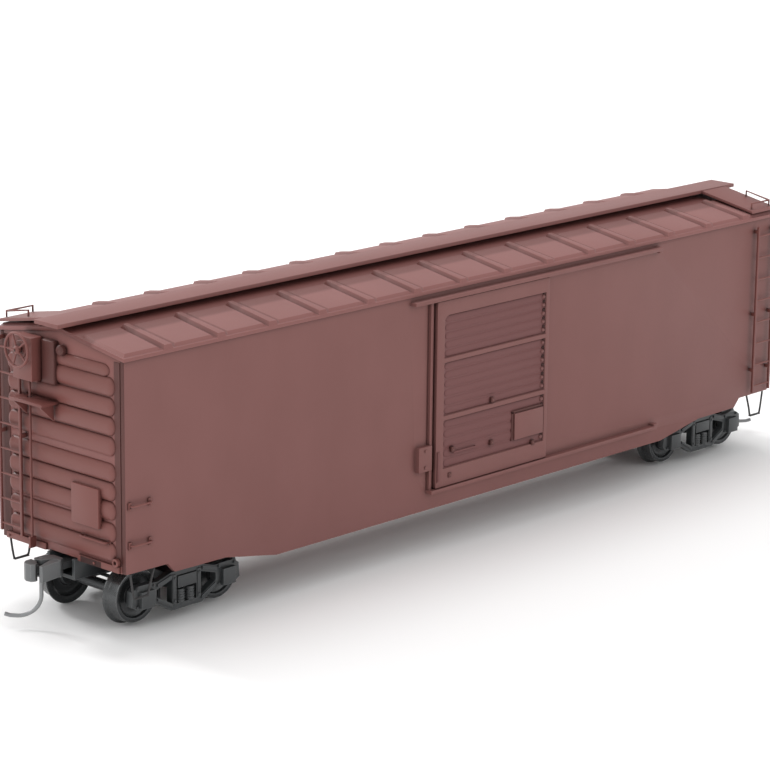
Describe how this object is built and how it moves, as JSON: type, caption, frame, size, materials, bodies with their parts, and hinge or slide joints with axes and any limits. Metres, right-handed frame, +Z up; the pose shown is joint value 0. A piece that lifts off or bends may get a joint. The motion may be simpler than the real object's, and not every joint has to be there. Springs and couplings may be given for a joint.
{
  "type": "model box car",
  "caption": "Scale model of a long steel box car with a sliding door on each side, ribbed ends, a roof walk, ladders, swivelling trucks with rolling wheels and knuckle couplers.",
  "frame": {"origin": "middle of the car at the level of the bottom of the wheel flanges", "axes": "+X along the car towards the end without the hand brake, +Y across the car to the far side, +Z up"},
  "size_m": [0.198, 0.0356, 0.0542],
  "materials": {
    "body_paint": "flat oxide-red paint",
    "underframe_paint": "flat oxide-red paint",
    "truck_paint": "satin black",
    "wheel_metal": "blackened metal",
    "steel": "dull bare metal",
    "weight_steel": "rolled plate"
  },
  "bodies": {
    "car": {"roof": "body_paint", "running_board": "body_paint", "underframe": "underframe_paint", "weight": "weight_steel", "side_near": "body_paint", "end_a": "body_paint", "side_ladder_a": "body_paint", "end_ladder_a": "body_paint", "ladder_step_a": "body_paint", "grab_step_a": "body_paint", "side_grab_upper_a": "body_paint", "side_grab_lower_a": "body_paint", "end_grab_a": "body_paint", "roof_grab_a": "body_paint", "coupler_box_a": "truck_paint", "box_screw_a": "steel", "king_screw_a": "steel", "side_far": "body_paint", "end_b": "body_paint", "side_ladder_b": "body_paint", "end_ladder_b": "body_paint", "ladder_step_b": "body_paint", "grab_step_b": "body_paint", "side_grab_upper_b": "body_paint", "side_grab_lower_b": "body_paint", "end_grab_b": "body_paint", "roof_grab_b": "body_paint", "coupler_box_b": "truck_paint", "box_screw_b": "steel", "king_screw_b": "steel", "brake_housing": "body_paint", "brake_platform": "body_paint", "brake_rod": "body_paint"},
    "door_near": {"door_near": "body_paint"},
    "truck_a": {"truck_bolster_a": "truck_paint", "side_frame_a_1": "truck_paint", "side_frame_a_2": "truck_paint"},
    "wheelset_a_inner": {"axle_a_inner": "steel", "wheel_a_inner_1": "wheel_metal", "wheel_a_inner_2": "wheel_metal"},
    "wheelset_a_outer": {"axle_a_outer": "steel", "wheel_a_outer_1": "wheel_metal", "wheel_a_outer_2": "wheel_metal"},
    "coupler_a": {"coupler_a": "steel"},
    "knuckle_a": {"knuckle_a": "steel", "trip_pin_a": "steel"},
    "door_far": {"door_far": "body_paint"},
    "truck_b": {"truck_bolster_b": "truck_paint", "side_frame_b_1": "truck_paint", "side_frame_b_2": "truck_paint"},
    "wheelset_b_inner": {"axle_b_inner": "steel", "wheel_b_inner_1": "wheel_metal", "wheel_b_inner_2": "wheel_metal"},
    "wheelset_b_outer": {"axle_b_outer": "steel", "wheel_b_outer_1": "wheel_metal", "wheel_b_outer_2": "wheel_metal"},
    "coupler_b": {"coupler_b": "steel"},
    "knuckle_b": {"knuckle_b": "steel", "trip_pin_b": "steel"},
    "brake_wheel": {"brake_wheel": "body_paint"}
  },
  "joints": [
    {"name": "door_near_slide", "type": "slide", "parent": "car", "child": "door_near", "axis": [1, 0, 0], "range_m": [0, 0.033]},
    {"name": "truck_a_swivel", "type": "hinge", "parent": "car", "child": "truck_a", "pos_m": [0.073, 0, 0.00945], "axis": [0, 0, 1], "range_deg": [-9, 9]},
    {"name": "wheelset_a_inner_roll", "type": "hinge", "parent": "truck_a", "child": "wheelset_a_inner", "pos_m": [0.06338, 0, 0.00545], "axis": [0, 1, 0], "continuous": true},
    {"name": "wheelset_a_outer_roll", "type": "hinge", "parent": "truck_a", "child": "wheelset_a_outer", "pos_m": [0.08263, 0, 0.00545], "axis": [0, 1, 0], "continuous": true},
    {"name": "coupler_a_swing", "type": "hinge", "parent": "car", "child": "coupler_a", "pos_m": [0.0846, 0, 0.01075], "axis": [0, 0, 1], "range_deg": [-10, 10], "stiffness_Nm_per_rad": 0.002},
    {"name": "knuckle_a_open", "type": "hinge", "parent": "coupler_a", "child": "knuckle_a", "pos_m": [0.0942, -0.0014, 0.01075], "axis": [0, 0, -1], "range_deg": [0, 30], "stiffness_Nm_per_rad": 0.0005},
    {"name": "door_far_slide", "type": "slide", "parent": "car", "child": "door_far", "axis": [-1, 0, 0], "range_m": [0, 0.033]},
    {"name": "truck_b_swivel", "type": "hinge", "parent": "car", "child": "truck_b", "pos_m": [-0.073, 0, 0.00945], "axis": [0, 0, 1], "range_deg": [-9, 9]},
    {"name": "wheelset_b_inner_roll", "type": "hinge", "parent": "truck_b", "child": "wheelset_b_inner", "pos_m": [-0.06338, 0, 0.00545], "axis": [0, 1, 0], "continuous": true},
    {"name": "wheelset_b_outer_roll", "type": "hinge", "parent": "truck_b", "child": "wheelset_b_outer", "pos_m": [-0.08263, 0, 0.00545], "axis": [0, 1, 0], "continuous": true},
    {"name": "coupler_b_swing", "type": "hinge", "parent": "car", "child": "coupler_b", "pos_m": [-0.0846, 0, 0.01075], "axis": [0, 0, 1], "range_deg": [-10, 10], "stiffness_Nm_per_rad": 0.002},
    {"name": "knuckle_b_open", "type": "hinge", "parent": "coupler_b", "child": "knuckle_b", "pos_m": [-0.0942, 0.0014, 0.01075], "axis": [0, 0, -1], "range_deg": [0, 30], "stiffness_Nm_per_rad": 0.0005},
    {"name": "brake_wheel_turn", "type": "hinge", "parent": "car", "child": "brake_wheel", "pos_m": [-0.0947, 0.0063, 0.0485], "axis": [1, 0, 0], "continuous": true}
  ]
}
